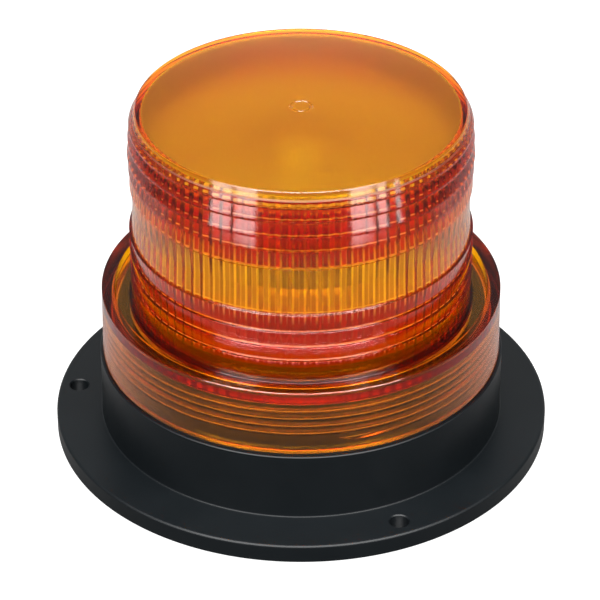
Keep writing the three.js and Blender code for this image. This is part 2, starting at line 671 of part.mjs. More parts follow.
function addSmallParts() {
  const film = { width: 6, depth: 12, height: 10 };
  const resistor = { radius: 1.7, length: 8 };
  const diode = { radius: 2, length: 7 };
  [[-24, -38], [-36, -33]].forEach(([x, y], index) => {
    const shape = block(x, y, film.width, film.depth, BOARD_LEVEL, BOARD_LEVEL + film.height);
    addPiece(`film_capacitor_${index + 1}`, shape, FILM_RED);
  });
  [[4, -22], [12, -22], [20, -22]].forEach(([x, y], index) => {
    addAxialPart(`resistor_${index + 1}`, x, y, resistor, RESISTOR_TAN);
  });
  [[20, 28], [28, 28]].forEach(([x, y], index) => {
    addAxialPart(`diode_${index + 1}`, x, y, diode, CHIP_BLACK);
  });
}

// A leaded part lying along Y, with its two leads straight out.
function addAxialPart(name, x, y, { radius, length }, finish) {
  const lead = { radius: 0.4, length: 2.5 };
  const half = length / 2;
  const shape = turned([
    [0, -half - lead.length],
    [lead.radius, -half - lead.length],
    [lead.radius, -half],
    [radius, -half],
    [radius, half],
    [lead.radius, half],
    [lead.radius, half + lead.length],
    [0, half + lead.length],
  ], HOLE_SEGMENTS);
  const mesh = addPiece(name, shape, finish);
  mesh.rotation.x = Math.PI / 2;
  mesh.position.set(x, y, BOARD_LEVEL + radius);
}

// Two screw clamps for the supply cable, under the board beside the grommet.
function addTerminalBlock() {
  const terminal = { x: 20, y: 30, width: 16, depth: 10, height: 8 };
  const mouth = { y: -3.5, width: 4, depth: 6, bottom: 2.6, top: 6.4 };
  const clamp = { y: 1, radius: 1.7, bottom: 0.4, top: 2.2 };
  const top = BOARD.bottom - GAP;
  const bottom = top - terminal.height;
  const places = [-terminal.width / 4, terminal.width / 4].map((x) => ({ x, y: clamp.y }));
  const mouths = places.map(({ x }) => (
    block(x, mouth.y, mouth.width, mouth.depth, bottom + mouth.bottom, bottom + mouth.top)
  ));
  const wellTop = bottom + clamp.top + GAP;
  const wells = discsAt(places, clamp.radius + GAP, bottom - OVERRUN, wellTop, HOLE_SEGMENTS);
  const body = block(0, 0, terminal.width, terminal.depth, bottom, top);
  const shape = geometryOf(cutAway(solidOf(body), [...mouths, ...wells]));
  addPiece('terminal_block', shape, TERMINAL_GREEN).position.set(terminal.x, terminal.y, 0);
  places.forEach(({ x, y }, index) => {
    const screw = disc(clamp.radius, bottom + clamp.bottom, bottom + clamp.top, HOLE_SEGMENTS);
    const mesh = addPiece(`terminal_screw_${index + 1}`, screw, STEEL);
    mesh.position.set(terminal.x + x, terminal.y + y, 0);
  });
}

// ---------------------------------------------------------------- assembly

addBaseHousing();
addBottomCover();
addCableGrommet();
addSeals();
addCircuitBoard();
addStorageCapacitors();
addTransformer();
addTriggerCoil();
addHeatSink();
addFilterChoke();
addTimingChip();
addSmallParts();
addTerminalBlock();
addDeck();
addTubeSocket();
addTubePlug();
addEnvelope();
addDischargeTube();
addLens();

export default model;
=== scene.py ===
"""Looks for the amber warning beacon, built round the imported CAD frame.

Lengths named here are millimetres unless a name says otherwise, and MM turns them into metres.
The object's axis is Z, its underside is at z = 0, and -Y is the front that the camera faces.
"""
import math

import bmesh
import bpy
from mathutils import Matrix, Vector


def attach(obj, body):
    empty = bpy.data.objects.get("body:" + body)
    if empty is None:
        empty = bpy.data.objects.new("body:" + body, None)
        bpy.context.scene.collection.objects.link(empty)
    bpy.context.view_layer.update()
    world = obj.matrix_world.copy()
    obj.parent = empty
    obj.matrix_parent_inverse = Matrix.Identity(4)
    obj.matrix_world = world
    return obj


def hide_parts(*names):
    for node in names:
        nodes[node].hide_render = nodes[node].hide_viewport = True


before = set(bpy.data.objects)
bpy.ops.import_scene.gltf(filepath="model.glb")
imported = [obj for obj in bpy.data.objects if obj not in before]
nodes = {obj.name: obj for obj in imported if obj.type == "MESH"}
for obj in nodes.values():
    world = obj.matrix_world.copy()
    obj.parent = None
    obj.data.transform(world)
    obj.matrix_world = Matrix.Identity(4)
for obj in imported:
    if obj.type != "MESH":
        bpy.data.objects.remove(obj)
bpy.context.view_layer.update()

MM = 0.001
LENS_COLUMNS = 720  # eight to a flute
BASE_COLUMNS = 288
ROUND_COLUMNS = 96
TURN = 2 * math.pi
SHARP_EDGE = math.radians(32)

# Camera, worked out from the object's outlines.
CAMERA_DISTANCE = 990
CAMERA_ELEVATION = math.radians(32.874)
CAMERA_TARGET_HEIGHT = 49.5
CAMERA_LENS = 179.47
CAMERA_SHIFT = (-0.0018, -0.0167)

# Screw thread.
PITCH = 2.8
THREAD_START_ANGLE = math.radians(9)
LENS_THREAD = {"root": 62.5, "crest": 60.9, "start": 34.0, "turns": 4.6, "low": 31.0, "high": 47.8}
NECK_THREAD = {"root": 60.2, "crest": 61.9, "start": 38.2, "turns": 2.7, "low": 28.4, "high": 46.1}
THREAD_SECTION = ((-0.62, 0), (-0.42, 0.6), (-0.22, 1), (0.22, 1), (0.42, 0.6), (0.62, 0))
THREAD_FADE = 0.07  # turns over which a thread's end runs out
POINT_SPACING = 0.02  # keeps a thread's flattened points in order

# Lens.
LENS_TOP = 119.1
LENS_BOTTOM = 30.5
COLLAR_RADIUS = (66.1, 65.8)
COLLAR_TOP = 53.4
COLLAR_INNER = 61.5
WEB_BOTTOM = 48
WEB_TOP = 50.3
DOME_FOOT = 55.7
DOME_FILLET = 0.12
DOME_SHOULDER = ((53.6, 117.7), (53.25, 118.8), (53.05, 119.0), (52.8, LENS_TOP))
# Each prism ring as its height, its crest radius and how deep its step is.
UPPER_RINGS = (
    (92.5, 55.5, 0.4), (98.4, 55.7, 0.9), (103.6, 55.9, 1.3), (109.1, 55.6, 1.5), (113.9, 55.2, 1.3))
LOWER_RINGS = ((58.8, 56.1, 0.8), (63.8, 56.1, 0.8), (69.5, 56.1, 0.8), (75.9, 56.1, 0.8))
UPPER_STEP = 0.4
LOWER_LEDGE = 0.1
CREST_LAND = 0.8  # height of the plain strip along an upper ring's crest
RING_BEVEL = 0.06
WAIST = (54.7, 85)
INNER_RADIUS = (52.4, 51.5)  # at the web and at the ceiling
CEILING = 116.5
FLUTES = 90
FLUTE_DEPTH = 0.32
FLUTE_SPAN = (54.6, 114.8)
FLUTE_PHASE = math.radians(1.3)
GATE_RADIUS = 3.8
INNER_WALL = 53.1  # the inner wall's tint stops at this radius
FOOT_REACH = 57  # and at this one below the web's underside
LENS_ROUGHNESS = 0.1
THREAD_ROUGHNESS = 0.2
FROST_ROUGHNESS = 0.5
ABSORPTION = (0.99, 0.95, 0.2, 1)
ABSORPTION_DENSITY = 2000
CLEAR_TINT = (1, 0.92, 0.8, 1)
# Painted shade in the lens's base colour: the band, the prism rings and the outer wall over the rings are
# darkened where the prisms bend the light away.
BAND_SHADE = (0.37, 0.2, 0.3, 1)
UPPER_PRISM_SHADE = (0.29, 0.0003, 0.001, 1)
LOWER_PRISM_SHADE = (0.19, 0.0002, 0.001, 1)
OUTER_RING_SHADE = (0.95, 0.35, 0.45, 1)
# Painted shade: the dome's foot, inside and out, and the moat are tinted nearly black.
OUTER_FOOT_SHADE = (0.5, 0.006, 0.15, 1)
COLLAR_TINT = (0.94, 0.62, 0.7, 1)
FOOT_SHADE = (0.03, 0.0003, 0.001, 1)
MOAT_DARK_SHADE = (0.08, 0.002, 0.008, 1)
MOAT_SHADE = 52  # height up to which the dome's foot is painted nearly black, as painted shade
# Painted highlights on the lens: clear lines along the ring edges and down the flutes' valleys and crests,
# and a row of dashes above the foot, strongest near the flash's middle.
RING_HIGHLIGHT = 0.3  # half the height of the painted highlight line along a ring's edge
RING_DROP = 0.9  # how far below the outer prisms the painted prism shade on the inner wall sits
VALLEY_HIGHLIGHT = 0.1  # half the width of the painted highlight line between flutes, as a share of a flute
CREST_HIGHLIGHT = 0.05  # the same for the painted highlight line along a flute's crest
CREST_HIGHLIGHT_STRENGTH = 0.5
FOCUS = 84.3  # height of the middle of the flash
HIGHLIGHT_REACH = (7.5, 13)  # distances from the focus over which the painted highlight lines dim
HIGHLIGHT_REMAINDER = 0.006
HIGHLIGHT_DASHES = (57.2, 0.9)  # middle and half height of the row of painted highlight dashes above the foot
DASH_HIGHLIGHT_STRENGTH = 0.5
TINT_SPAN = 130  # height that the tint ramp covers

# Base housing.
FLANGE_RADIUS = 82.5
FLANGE_HEIGHT = 6.3
FLANGE_EDGE = 0.8
DRUM_FILLET = 0.4
DRUM_RADIUS = 67
DRUM_TOP = 29.7
DRUM_INNER = 63.5
SHOULDER = (24.7, 27.7)
NECK_TOP = 46.8
NECK_INNER = 57.2
SEAL_GROOVE = 65.6
FOOT_GROOVE = (66.2, 71.8, 2.3)
MOUNT_CIRCLE = 75.9
MOUNT_ANGLES = (-65.6, 54.4, 174.4)
MOUNT_HOLE = 3.2

# Pieces inside the base, under the lens and on the underside.
COVER = {"bottom": 3, "top": 5.5, "radius": 63, "recess": 0.5, "rib": (18, 20.4), "rim": 44}
DECK = {"bottom": 42.3, "top": 44.5, "radius": 56.7, "hole": 12.8, "lip": 1.5, "lip_height": 1.2}
REFLECTOR = {"inner": 17.4, "outer": 47.9, "bottom": 44.8, "top": 45.4}
GROMMET = {"place": (0, 30), "bore": 4, "neck": 6, "flange": 8, "bottom": 1, "top": 7.5}
GROMMET_HOLE = 6.4
BOSS_RADIUS = 3.5
SCREW_HOLE = 1.8
COVER_BOSSES = {"radius": 59.8, "first": 60, "bottom": 5.8, "top": 25}
BOARD_BOSSES = {"radius": 58.5, "first": 0, "bottom": 17.8, "top": 25}
DECK_BOSSES = {"radius": 51.4, "first": 30, "bottom": 30, "top": 42}
BOSS_RIB_HALF = 1.5
SCREW = {"head": 3, "head_height": 1.9, "shank": 1.45, "root": 1.1, "pitch": 0.6, "slot": (8, 0.8, 2)}
SCREWS = (  # name, bosses, height of the seat, length and tilt
    ("cover_screw", COVER_BOSSES, 2.7, 10, 0),
    ("board_screw", BOARD_BOSSES, 15.6, 7, 0),
    ("deck_screw", DECK_BOSSES, 44.8, 9, math.pi),
)
SEALS = (  # name, CAD node, body, inner and outer radius, bottom and top
    ("lens_seal_ring", "lens_seal", "seal", 62.3, 65.3, 28, 30.2),
    ("foot_seal_ring", "foot_seal", "base", 66.5, 71.5, 0.1, 2),
)
SOCKET = {
    "bottom": 36, "body": 12.4, "seat": 44.8, "flange": 17, "flange_top": 47.2, "collar": 14, "top": 49.9}
PIN_CIRCLE = 8
PIN_BORE = 1.6
PIN = {"bottom": 41.8, "top": 49.9, "radius": 1.2}
PLUG = {"bottom": 50.2, "rim": 15, "grip": (51.6, 54.7), "rim_top": 55, "top": 57.5, "spigot": 10.9}
SPIGOT_TOP = 61
GRIP_RIBS = 24
GRIP_DEPTH = 0.5
ENVELOPE = {"inner": 11.4, "outer": 13, "bottom": 57.8, "middle": 89}
TUBE = {"radius": 3, "wall": 0.7, "half_gap": 5.5, "bottom": 64.3, "leg_top": 90}
ELECTRODE = {"stem": 0.7, "cap": 2, "bottom": 61.3, "cap_bottom": 62, "top": 64}
TRIGGER_WIRE = {"radius": 0.2, "turns": 5, "lead": 3}

# Studio, in metres and degrees. The strips stand on the table and reach up beside the camera.
STRIPS = ((-50.5, 13), (-34.5, 13), (38, 14), (51, 6), (62, 3))
STRIP_ELEVATION = 37
STRIP_DISTANCE = 1.2
STRIP_HEIGHT = 1.85
STRIP_RADIANCE = 6.5
SOFTBOXES = (  # name, azimuth, elevation, distance, width, height, watts, and whether it stands upright
    ("overhead", 0, 60, 1.6, 2.6, 1.6, 172, False),
    ("backdrop", 180, 17, 1.8, 3, 0.84, 7.5, True),
    ("under", 0, -60, 1.2, 1, 1, 12, False),
)
WORLD_STRENGTH = 0.18
FLOOR_RADIUS = 3000
FLOOR_TONES = (0.05, 0.18)  # in front of the object and behind it
FLOOR_FADE = (-0.08, 0.04)  # where on Y the one turns into the other


# ---------------------------------------------------------------- meshes

def shade(mesh):
    """Smooth shading, except at edges sharper than SHARP_EDGE."""
    mesh.shade_smooth()
    mesh.set_sharp_from_angle(angle=SHARP_EDGE)


def new_piece(name, points, faces):
    """A mesh object from points in millimetres."""
    mesh = bpy.data.meshes.new(name)
    mesh.from_pydata([Vector(point) * MM for point in points], [], faces)
    mesh.update()
    shade(mesh)
    piece = bpy.data.objects.new(name, mesh)
    bpy.context.scene.collection.objects.link(piece)
    return piece


def on_circle(radius, angle, height):
    """A point at angle round the axis, where 0 is the front and angles grow towards +X."""
    return (radius * math.sin(angle), -radius * math.cos(angle), height)


def softened(outline, cut):
    """The outline with each inner corner cut back on both sides, by at most cut."""
    result = [outline[0]]
    for before, corner, after in zip(outline, outline[1:], outline[2:]):
        for other in (before, after):
            length = math.dist(corner, other)
            share = min(cut, length * 0.35) / length
            result.append(tuple(c + (o - c) * share for c, o in zip(corner, other)))
    result.append(outline[-1])
    return result


def strip_faces(pairs):
    """Faces along a strip, given its points in pairs. A corner that comes twice is kept once."""
    return [list(dict.fromkeys((a, b, d, c))) for (a, b), (c, d) in zip(pairs, pairs[1:])]


def lane_faces(here, there, closed):
    """Faces between two neighbouring lanes of equal length."""
    pairs = list(zip(here, there))
    return strip_faces(pairs + pairs[:1] if closed else pairs)


def faces_round(lanes, closed):
    """Faces between neighbouring lanes, all the way round."""
    faces = []
    for here, there in zip(lanes, lanes[1:] + lanes[:1]):
        faces += lane_faces(here, there, closed)
    return faces


def lathed(columns, rows_at):
    """The points of a turned wall, and its lanes of point numbers. Rows on the axis share a point.

    rows_at(column) gives a column's angle and its rows, as (radius, height).
    """
    points = []
    lanes = []
    axis_points = {}
    for column in range(columns):
        angle, rows = rows_at(column)
        lane = []
        for row, (radius, height) in enumerate(rows):
            if radius == 0 and row in axis_points:
                lane.append(axis_points[row])
                continue
            if radius == 0:
                axis_points[row] = len(points)
            lane.append(len(points))
            points.append(on_circle(radius, angle, height))
        lanes.append(lane)
    return points, lanes


def turned(name, outline, columns=ROUND_COLUMNS, closed=False):
    """A piece turned about the axis. The outline runs up its outside, as (radius, height)."""
    points, lanes = lathed(columns, lambda column: (TURN * column / columns, outline))
    return new_piece(name, points, faces_round(lanes, closed))


def thread_rows(thread, share):
    """One column of a threaded wall, from its highest point down, at a share of a turn."""
    groups = int(thread["turns"]) + 1
    rows = []
    for group in range(groups - 1, -2, -1):
        turns = share + group
        rise = min(turns, thread["turns"] - turns) / THREAD_FADE
        rise = max(0.0, min(1.0, rise))
        middle = thread["start"] + PITCH * turns
        for offset, level in reversed(THREAD_SECTION):
            radius = thread["root"] + (thread["crest"] - thread["root"]) * level * rise
            rows.append((radius, middle + offset))
    total = len(rows)
    kept = []
    for index, (radius, height) in enumerate(rows):
        highest = thread["high"] - index * POINT_SPACING
        lowest = thread["low"] + (total - index) * POINT_SPACING
        kept.append((radius, max(lowest, min(highest, height))))
    return kept


def threaded(name, above, thread, below, columns, closed):
    """A turned piece with a helical thread in its wall.

    above(angle) gives the rows before the thread and below(angle) those after it, in the order in
    which the wall's column is walked. Where the helix closes on itself, a ridge joins the next one up.
    """
    def rows_at(column):
        share = column / columns
        angle = THREAD_START_ANGLE + TURN * share
        return angle, above(angle) + thread_rows(thread, share) + below(angle)

    points, lanes = lathed(columns, rows_at)
    faces = []
    for here, there in zip(lanes, lanes[1:]):
        faces += lane_faces(here, there, closed)
    first = len(above(THREAD_START_ANGLE))
    after = first + len(thread_rows(thread, 0))
    faces += seam_faces(lanes[-1], lanes[0], first, after, closed)
    return new_piece(name, points, faces)


def seam_faces(last, start, first, after, closed):
    """Faces where the last lane meets the first, a ridge higher. The thread fills rows first to after."""
    section = len(THREAD_SECTION)
    above = list(zip(last[:first], start[:first]))
    ridges = list(zip(last[first + section:after], start[first:after - section]))
    below = list(zip(last[after:], start[after:]))
    faces = strip_faces(above) + strip_faces(ridges) + strip_faces(below)
    if closed:
        faces += strip_faces([below[-1], above[0]])
    left_over = last[first:first + section]
    faces.append([*above[-1], *ridges[0][::-1], *left_over[::-1]])
    left_over = start[after - section:after]
    faces.append([*ridges[-1], *left_over, *below[0][::-1]])
    return faces


# ---------------------------------------------------------------- materials

def new_material(name):
    """A node material, its nodes and its links."""
    made = bpy.data.materials.new(name)
    made.use_nodes = True
    return made, made.node_tree.nodes, made.node_tree.links


def even_normals(piece):
    """Weights each corner's normal by the size of its faces, so that flats beside small bevels stay flat."""
    weighting = piece.modifiers.new("even_normals", "WEIGHTED_NORMAL")
    weighting.mode = "FACE_AREA"
    weighting.keep_sharp = True
    bpy.context.view_layer.objects.active = piece
    bpy.ops.object.modifier_apply(modifier=weighting.name)


def dress(piece, finish, body):
    """Gives a piece its material and says which slot and body it belongs to."""
    even_normals(piece)
    piece.data.materials.clear()
    piece.data.materials.append(finish)
    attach(piece, body)


def math_node(tree, links, operation, first, second=None):
    """A Math node's output. Its inputs are numbers or other nodes' outputs."""
    node = tree.new("ShaderNodeMath")
    node.operation = operation
    for socket, value in zip(node.inputs, (first, second)):
        if value is None:
            continue
        if isinstance(value, (int, float)):
            socket.default_value = value
        else:
            links.new(value, socket)
    return node.outputs[0]


def mixed(tree, links, share, first, second):
    """A colour between first and second. Each is a colour or another node's output."""
    node = tree.new("ShaderNodeMixRGB")
    links.new(share, node.inputs["Fac"])
    for socket, value in ((node.inputs["Color1"], first), (node.inputs["Color2"], second)):
        if isinstance(value, tuple):
            socket.default_value = value
        else:
            links.new(value, socket)
    return node.outputs[0]


def distance_from(tree, links, height, level):
    """How far a height is from a level. The level is in millimetres and the rest in metres."""
    return math_node(tree, links, "ABSOLUTE", math_node(tree, links, "SUBTRACT", height, level * MM))


def position(tree, links):
    """The shaded point's X, Y and Z in metres, fixed to the piece."""
    place = tree.new("ShaderNodeTexCoord")
    split = tree.new("ShaderNodeSeparateXYZ")
    links.new(place.outputs["Object"], split.inputs[0])
    return split.outputs


def tint_steps(tree, links, height, lowest, steps):
    """Tints in steps: lowest at the bottom, then each step's own tint from its height up."""
    ramp = tree.new("ShaderNodeValToRGB")
    ramp.color_ramp.interpolation = "CONSTANT"
    stops = ramp.color_ramp.elements
    stops[0].color = lowest
    stops[1].color = CLEAR_TINT
    for start, tint in steps:
        stops.new(start / TINT_SPAN).color = tint
    links.new(math_node(tree, links, "DIVIDE", height, TINT_SPAN * MM), ramp.inputs["Fac"])
    return ramp.outputs["Color"]


def inner_shade_and_highlights(tree, links, height):
    """Painted shade and highlights on the inner wall: deep red in the prism rings, a paler amber in the band
    between and dark at the foot, with clear painted highlight lines along the ring edges.
    """
    lower = [FLUTE_SPAN[0]] + [ring[0] - RING_DROP for ring in LOWER_RINGS]
    upper = [ring[0] - RING_DROP for ring in UPPER_RINGS] + [FLUTE_SPAN[1]]
    zones = [(low, high, LOWER_PRISM_SHADE) for low, high in zip(lower, lower[1:])]
    zones += [(low, high, UPPER_PRISM_SHADE) for low, high in zip(upper, upper[1:])]
    zones.append((lower[-1], upper[0], BAND_SHADE))
    steps = [(MOAT_SHADE, FOOT_SHADE)]
    for low, high, tint in zones:
        steps += [(low + RING_HIGHLIGHT, tint), (high - RING_HIGHLIGHT, CLEAR_TINT)]
    return tint_steps(tree, links, height, MOAT_DARK_SHADE, steps)


def outer_tint_and_shade(tree, links, radius, height):
    """The tint of the outer wall: painted shade that turns it orange over the dome's rings and darker at its
    foot, and amber on the collar.
    """
    steps = (
        (WEB_TOP - 0.5, MOAT_DARK_SHADE),
        (MOAT_SHADE, OUTER_FOOT_SHADE),
        (LOWER_RINGS[0][0] - RING_DROP, OUTER_RING_SHADE),
        (LOWER_RINGS[-1][0], CLEAR_TINT),
        (UPPER_RINGS[0][0], OUTER_RING_SHADE),
        (UPPER_RINGS[-1][0] + CREST_LAND, CLEAR_TINT),
    )
    on_collar = math_node(tree, links, "GREATER_THAN", radius, (DOME_FOOT + 1) * MM)
    return mixed(tree, links, on_collar, tint_steps(tree, links, height, CLEAR_TINT, steps), COLLAR_TINT)


def flute_highlights(tree, links, x, y):
    """Painted highlights: 1 on the line down each valley between flutes, and the crest strength on the line
    along each crest.
    """
    front = math_node(tree, links, "MULTIPLY", y, -1)
    angle = math_node(tree, links, "ARCTAN2", x, front)
    flutes = math_node(tree, links, "MULTIPLY", angle, FLUTES / TURN)
    shifted = math_node(tree, links, "SUBTRACT", flutes, FLUTE_PHASE * FLUTES / TURN)
    from_valley = math_node(tree, links, "PINGPONG", shifted, 0.5)
    in_valley = math_node(tree, links, "LESS_THAN", from_valley, VALLEY_HIGHLIGHT)
    on_crest = math_node(tree, links, "GREATER_THAN", from_valley, 0.5 - CREST_HIGHLIGHT)
    crest_highlight = math_node(tree, links, "MULTIPLY", on_crest, CREST_HIGHLIGHT_STRENGTH)
    return math_node(tree, links, "MAXIMUM", in_valley, crest_highlight)


def highlight_strength(tree, links, height):
    """How strong the painted highlight lines on the flutes are: full near the focus, faint beyond, with
    painted highlight dashes above the foot.
    """
    from_focus = distance_from(tree, links, height, FOCUS)
    start, end = (reach * MM for reach in HIGHLIGHT_REACH)
    dimming = spread_value(tree, links, from_focus, 1, HIGHLIGHT_REMAINDER, start, end)
    from_dashes = distance_from(tree, links, height, HIGHLIGHT_DASHES[0])
    in_dashes = math_node(tree, links, "LESS_THAN", from_dashes, HIGHLIGHT_DASHES[1] * MM)
    dashes = math_node(tree, links, "MULTIPLY", in_dashes, DASH_HIGHLIGHT_STRENGTH)
    return math_node(tree, links, "MAXIMUM", dimming, dashes)


def lens_tint_with_painted_light(tree, links, x, y, height):
    """The tint of the lens, with its painted shade and painted highlights: the dome's inner wall with its
    lines, and the outer wall.
    """
    strength = highlight_strength(tree, links, height)
    on_highlight = math_node(tree, links, "MULTIPLY", flute_highlights(tree, links, x, y), strength)
    across = math_node(tree, links, "MULTIPLY", x, x)
    along = math_node(tree, links, "MULTIPLY", y, y)
    radius = math_node(tree, links, "SQRT", math_node(tree, links, "ADD", across, along))
    under_web = math_node(tree, links, "LESS_THAN", height, (WEB_BOTTOM + 1) * MM)
    edge = spread_value(tree, links, under_web, INNER_WALL * MM, FOOT_REACH * MM)
    outside = math_node(tree, links, "GREATER_THAN", radius, edge)
    inner = mixed(tree, links, on_highlight, inner_shade_and_highlights(tree, links, height), CLEAR_TINT)
    return mixed(tree, links, outside, inner, outer_tint_and_shade(tree, links, radius, height))


def amber_plastic():
    """Clear amber polycarbonate, frosted under the flat top; its base colour carries painted shade and
    painted highlights.
    """
    made, tree, links = new_material("amber_polycarbonate")
    shader = tree["Principled BSDF"]
    shader.inputs["IOR"].default_value = 1.586
    shader.inputs["Transmission Weight"].default_value = 1
    x, y, height = position(tree, links)
    links.new(lens_tint_with_painted_light(tree, links, x, y, height), shader.inputs["Base Color"])
    frosted = math_node(tree, links, "LESS_THAN", distance_from(tree, links, height, CEILING), 0.3 * MM)
    on_thread = math_node(tree, links, "LESS_THAN", height, (WEB_BOTTOM - 0.5) * MM)
    plain = spread_value(tree, links, on_thread, LENS_ROUGHNESS, THREAD_ROUGHNESS)
    frost = math_node(tree, links, "MULTIPLY", frosted, FROST_ROUGHNESS)
    rough = math_node(tree, links, "MAXIMUM", plain, frost)
    links.new(rough, shader.inputs["Roughness"])
    absorb = tree.new("ShaderNodeVolumeAbsorption")
    absorb.inputs["Color"].default_value = ABSORPTION
    absorb.inputs["Density"].default_value = ABSORPTION_DENSITY
    links.new(absorb.outputs[0], tree["Material Output"].inputs["Volume"])
    return made


def noise(tree, links, scale, detail=4):
    """Noise fixed to the piece. The scale is in features per metre."""
    place = tree.new("ShaderNodeTexCoord")
    made = tree.new("ShaderNodeTexNoise")
    made.inputs["Scale"].default_value = scale
    made.inputs["Detail"].default_value = detail
    links.new(place.outputs["Object"], made.inputs["Vector"])
    return made.outputs["Fac"]


def bands(tree, links, axis, pitch, distortion=0):
    """Even bands across an axis, with a pitch in millimetres."""
    place = tree.new("ShaderNodeTexCoord")
    made = tree.new("ShaderNodeTexWave")
    made.bands_direction = axis
    made.inputs["Scale"].default_value = TURN / 20 / (pitch * MM)
    made.inputs["Distortion"].default_value = distortion
    links.new(place.outputs["Object"], made.inputs["Vector"])
    return made.outputs["Fac"]


def shades(color, spread):
    """A darker and a lighter shade of a colour."""
    return tuple((*(c * share for c in color), 1) for share in (1 - spread, 1 + spread))


def spread_value(tree, links, value, low, high, start=0, end=1):
    """A value that goes from low to high while another goes from start to end."""
    node = tree.new("ShaderNodeMapRange")
    node.inputs["From Min"].default_value = start
    node.inputs["From Max"].default_value = end
    node.inputs["To Min"].default_value = low
    node.inputs["To Max"].default_value = high
    links.new(value, node.inputs["Value"])
    return node.outputs["Result"]


def bump(tree, links, height, depth, strength=0.5):
    node = tree.new("ShaderNodeBump")
    node.inputs["Strength"].default_value = strength
    node.inputs["Distance"].default_value = depth * MM
    links.new(height, node.inputs["Height"])
    return node.outputs[0]


def surface(name, color, roughness, metallic=0, grain=2600, depth=0.05, specular=0.35, wave=None):
    """An opaque finish: uneven in tone and gloss, with a fine grain or with bands in its bump.

    wave is the axis and pitch of the bands, which also darken the colour between them.
    """
    made, tree, links = new_material(name)
    shader = tree["Principled BSDF"]
    shader.inputs["Metallic"].default_value = metallic
    shader.inputs["Specular IOR Level"].default_value = specular
    broad = noise(tree, links, 60, 5)
    tone = mixed(tree, links, broad, *shades(color, 0.2))
    relief = noise(tree, links, grain)
    if wave:
        relief = bands(tree, links, *wave)
        tone = mixed(tree, links, relief, shades(color, 0.6)[0], tone)
    links.new(tone, shader.inputs["Base Color"])
    gloss = spread_value(tree, links, broad, roughness - 0.06, roughness + 0.06)
    links.new(gloss, shader.inputs["Roughness"])
    links.new(bump(tree, links, relief, depth), shader.inputs["Normal"])
    return made


def circuit_laminate():
    """Green solder mask over copper tracks, which show as raised, paler lines."""
    made, tree, links = new_material("circuit_laminate")
    shader = tree["Principled BSDF"]
    place = tree.new("ShaderNodeTexCoord")
    tracks = tree.new("ShaderNodeTexBrick")
    tracks.inputs["Scale"].default_value = 90
    tracks.inputs["Mortar Size"].default_value = 0.06
    tracks.inputs["Color1"].default_value = (0.012, 0.09, 0.03, 1)
    tracks.inputs["Color2"].default_value = (0.018, 0.11, 0.04, 1)
    tracks.inputs["Mortar"].default_value = (0.05, 0.24, 0.08, 1)
    links.new(place.outputs["Object"], tracks.inputs["Vector"])
    links.new(tracks.outputs["Color"], shader.inputs["Base Color"])
    gloss = noise(tree, links, 300)
    links.new(spread_value(tree, links, gloss, 0.25, 0.4), shader.inputs["Roughness"])
    links.new(bump(tree, links, tracks.outputs["Fac"], 0.05), shader.inputs["Normal"])
    return made


def clear_glass():
    """Thin borosilicate glass with faint drawing lines."""
    made, tree, links = new_material("borosilicate")
    shader = tree["Principled BSDF"]
    shader.inputs["Base Color"].default_value = (0.98, 0.99, 0.99, 1)
    shader.inputs["IOR"].default_value = 1.47
    shader.inputs["Transmission Weight"].default_value = 1
    streaks = noise(tree, links, 120)
    links.new(spread_value(tree, links, streaks, 0.01, 0.04), shader.inputs["Roughness"])
    links.new(bump(tree, links, streaks, 0.02, 0.2), shader.inputs["Normal"])
    return made


# ---------------------------------------------------------------- lens

def dome_outline():
    """Rows up the outside of the dome, between its foot and its flat top."""
    outline = []
    for height, crest, depth in LOWER_RINGS:
        outline += [(crest, height), (crest - depth, height + LOWER_LEDGE)]
    outline.append(WAIST)
    for height, crest, depth in UPPER_RINGS:
        outline += [(crest - depth, height - UPPER_STEP), (crest, height), (crest, height + CREST_LAND)]
    return outline


def lens_outside():
    """Rows from the collar's inner bottom edge, up the outside, to the middle of the top."""
    collar = [
        (LENS_THREAD["root"], LENS_BOTTOM + 0.4),
        (LENS_THREAD["root"] + 0.4, LENS_BOTTOM),
        (COLLAR_RADIUS[0], LENS_BOTTOM),
        (COLLAR_RADIUS[1], COLLAR_TOP),
        (COLLAR_INNER, COLLAR_TOP),
        (COLLAR_INNER - 0.2, WEB_TOP),
        (DOME_FOOT + DOME_FILLET, WEB_TOP),
        (DOME_FOOT, WEB_TOP + DOME_FILLET),
    ]
    dome = dome_outline()
    top = [*DOME_SHOULDER, (GATE_RADIUS + 3, LENS_TOP)]
    outline = softened(collar + dome[:1], 0.15)[:-1]
    outline += softened(dome + top[:1], RING_BEVEL)[:-1]
    outline += softened(top, 0.12)
    gate = [
        (GATE_RADIUS, LENS_TOP),
        (GATE_RADIUS - 0.3, LENS_TOP - 0.25),
        (GATE_RADIUS - 0.8, LENS_TOP - 0.25),
        (GATE_RADIUS - 1.1, LENS_TOP - 0.05),
        (0, LENS_TOP - 0.05),
    ]
    return outline + gate


def flute_sag(angle):
    """How far the inner wall bulges inward at an angle: a wave between two valleys."""
    share = ((angle - FLUTE_PHASE) * FLUTES / TURN) % 1
    return FLUTE_DEPTH * (1 - math.cos(TURN * share)) / 2


